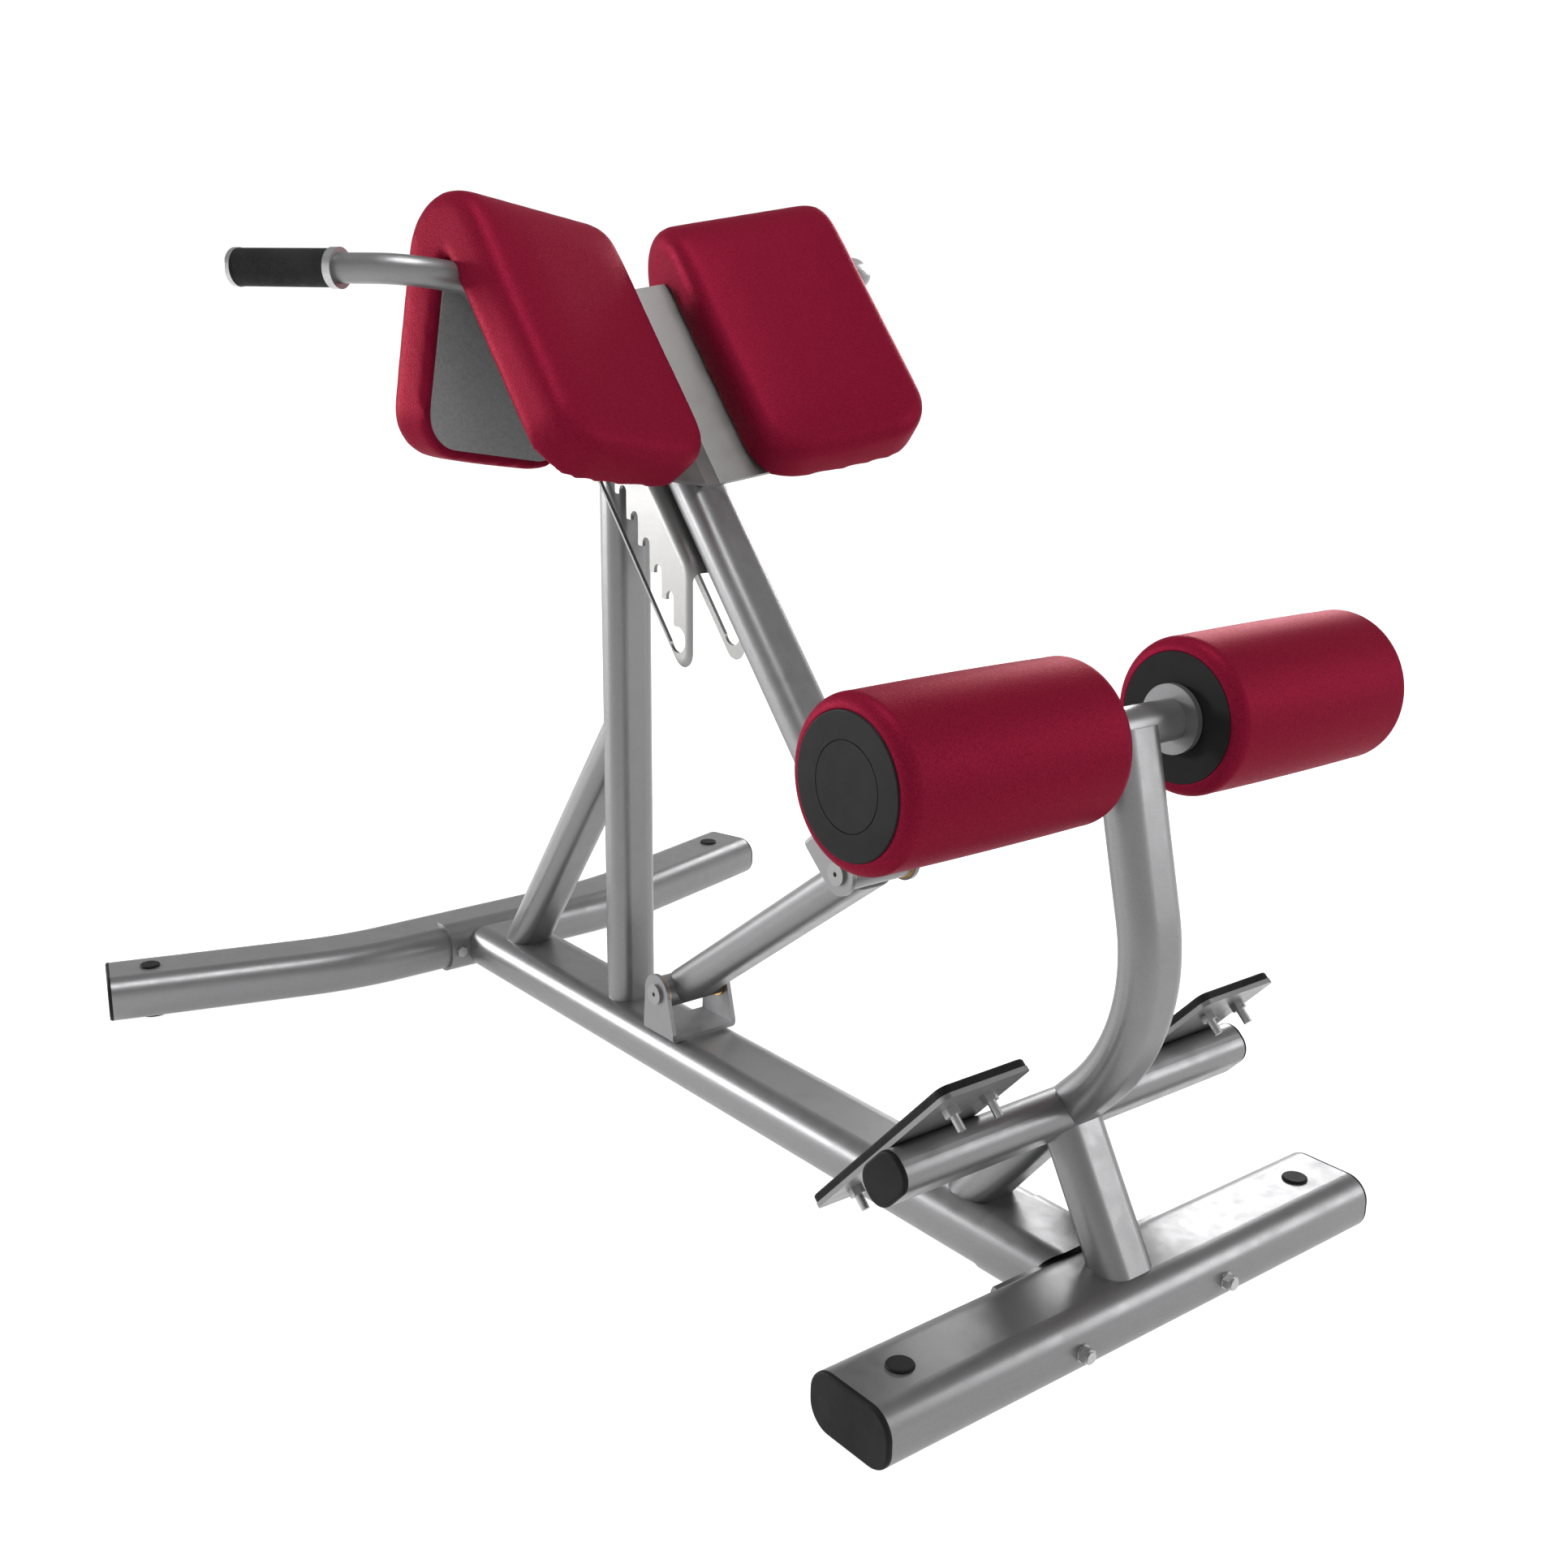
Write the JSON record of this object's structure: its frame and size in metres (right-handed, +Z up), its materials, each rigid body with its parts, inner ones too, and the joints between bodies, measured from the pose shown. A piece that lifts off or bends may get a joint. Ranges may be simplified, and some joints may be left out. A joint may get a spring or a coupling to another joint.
{
  "type": "roman chair",
  "caption": "Free-standing hyperextension bench with folded hip pads on a height-adjustable arm, side handles, sloping foot plates and foam leg rollers on an oval-tube frame.",
  "frame": {"origin": "on the floor under the middle of the bounding box", "axes": "+X from the curved front foot to the straight rear crossbar, +Y to the right of the user, who faces -X, +Z up"},
  "size_m": [1.3546, 1.0094, 0.9987],
  "materials": {
    "frame_paint": "fine metallic powder coat, satin",
    "black_plastic": "satin",
    "steel_hardware": "zinc plated",
    "floor_rubber": "matt",
    "foot_rubber": "matt, fine grain",
    "grip_rubber": "matt",
    "bronze": "plain bearing bronze",
    "pad_vinyl": "crimson vinyl with a fine grain",
    "roller_vinyl": "crimson vinyl with a fine grain",
    "pad_board": "grey painted board"
  },
  "bodies": {
    "frame": {"beam_socket": "frame_paint", "crossbar_bolts": "steel_hardware", "crossbar_end_caps": "black_plastic", "crossbar_nuts": "steel_hardware", "crossbar_plugs": "black_plastic", "flange_plate": "frame_paint", "foot_bar": "frame_paint", "foot_bar_caps": "black_plastic", "foot_mat_left": "foot_rubber", "foot_mat_right": "foot_rubber", "foot_plate_left": "frame_paint", "foot_plate_right": "frame_paint", "front_foot": "frame_paint", "front_foot_caps": "black_plastic", "front_foot_plugs": "black_plastic", "front_saddle": "frame_paint", "front_strut": "frame_paint", "lower_bracket": "frame_paint", "lower_pivot_bolt": "steel_hardware", "main_beam": "frame_paint", "plate_nuts": "steel_hardware", "plate_studs": "steel_hardware", "post": "frame_paint", "post_brace": "frame_paint", "post_cap": "black_plastic", "rear_crossbar": "frame_paint", "rear_strut": "frame_paint", "rest_pin": "steel_hardware", "roller_axle_tube": "frame_paint", "roller_collars": "frame_paint", "roller_spindle": "steel_hardware", "roller_upright": "frame_paint", "rubber_feet": "floor_rubber", "saddle_bolts": "steel_hardware"},
    "link": {"swing_link": "frame_paint", "lower_barrel": "frame_paint", "upper_barrel": "frame_paint", "lower_washers": "bronze", "upper_washers": "bronze"},
    "pad_carriage": {"pad_arm": "frame_paint", "upper_fork": "frame_paint", "upper_pivot_bolt": "steel_hardware", "notch_plates": "frame_paint", "pad_bracket": "frame_paint", "pad_board_left": "pad_board", "pad_board_right": "pad_board", "hip_pad_left": "pad_vinyl", "hip_pad_right": "pad_vinyl", "pad_screws": "steel_hardware", "handlebar": "frame_paint", "grips": "grip_rubber", "grip_collars": "steel_hardware", "grip_end_flanges": "steel_hardware"},
    "roller_left": {"roller_pad_left": "roller_vinyl", "roller_core_left": "black_plastic", "roller_discs_left": "black_plastic"},
    "roller_right": {"roller_pad_right": "roller_vinyl", "roller_core_right": "black_plastic", "roller_discs_right": "black_plastic"}
  },
  "joints": [
    {"name": "link_swing", "type": "hinge", "parent": "frame", "child": "link", "pos_m": [-0.0498, 0, 0.114], "axis": [0, -1, 0], "range_deg": [0, 18]},
    {"name": "arm_pivot", "type": "hinge", "parent": "link", "child": "pad_carriage", "pos_m": [0.2712, 0, 0.348], "axis": [0, -1, 0], "range_deg": [-18.81, 0]},
    {"name": "roller_left_spin", "type": "hinge", "parent": "frame", "child": "roller_left", "pos_m": [0.5882, 0, 0.554], "axis": [0, 1, 0], "continuous": true},
    {"name": "roller_right_spin", "type": "hinge", "parent": "frame", "child": "roller_right", "pos_m": [0.5882, 0, 0.554], "axis": [0, 1, 0], "continuous": true}
  ],
  "couplings": [
    {"joint": "arm_pivot", "follows": "link_swing", "ratio": -1.045}
  ]
}
